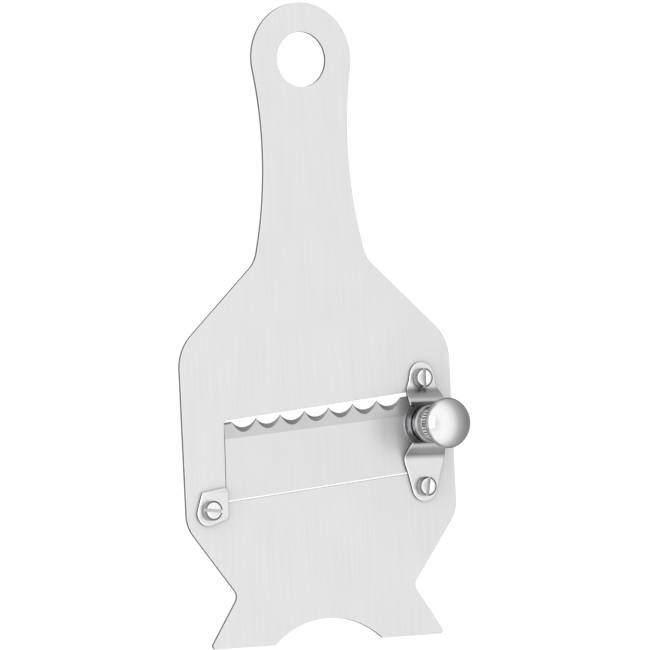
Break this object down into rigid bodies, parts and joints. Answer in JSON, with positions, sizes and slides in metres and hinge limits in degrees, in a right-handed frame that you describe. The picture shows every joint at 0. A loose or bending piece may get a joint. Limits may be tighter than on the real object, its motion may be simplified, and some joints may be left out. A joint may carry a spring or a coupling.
{
  "type": "truffle slicer",
  "caption": "Hand-held truffle slicer: flat steel plate with handle, hanging hole and feet, a scalloped blade in a slanted slot and a domed knob that sets the slice thickness.",
  "frame": {"origin": "under the middle of the object's box, on the plane of the smooth working side that it lies on", "axes": "+Z out of the knob side, +Y along the handle towards the hanging hole, +X to the right seen from the knob side, where the knob is"},
  "size_m": [0.0888, 0.185, 0.0216],
  "materials": {
    "sheet_steel": "satin, fine grain along the handle",
    "blade_steel": "satin, ground edge",
    "strap_steel": "tumbled bright",
    "screw_steel": "bright turned",
    "nut_steel": "turned and knurled",
    "knob_chrome": "polished"
  },
  "bodies": {
    "frame": {"body_plate": "sheet_steel", "bridge_bracket": "strap_steel", "bracket_screw_upper": "screw_steel", "bracket_screw_lower": "screw_steel", "pivot_clip": "strap_steel", "clip_screw": "screw_steel"},
    "blade": {"blade": "blade_steel"},
    "thrust": {"thrust_washer": "screw_steel"},
    "spindle": {"adjusting_screw": "screw_steel", "knob_cap": "knob_chrome"},
    "lock_nut": {"lock_nut": "nut_steel"}
  },
  "joints": [
    {"name": "knob_turn", "type": "hinge", "parent": "thrust", "child": "spindle", "pos_m": [0.03397, -0.03106, 0.01], "axis": [0, 0, -1], "range_deg": [0, 1260]},
    {"name": "screw_travel", "type": "slide", "parent": "frame", "child": "thrust", "axis": [0, 0, -1], "range_m": [0, 0.00245]},
    {"name": "blade_tilt", "type": "hinge", "parent": "frame", "child": "blade", "pos_m": [-0.033, -0.049, 0.00075], "axis": [-0.0854, 0.9963, 0], "range_deg": [0, 2.06]},
    {"name": "lock_nut_turn", "type": "hinge", "parent": "frame", "child": "lock_nut", "pos_m": [0.03397, -0.03106, 0.008], "axis": [0, 0, 1], "range_deg": [0, 180]}
  ],
  "couplings": [
    {"joint": "knob_turn", "follows": "screw_travel", "rad_per_m": 8975.9},
    {"joint": "blade_tilt", "follows": "screw_travel", "rad_per_m": 14.65}
  ]
}
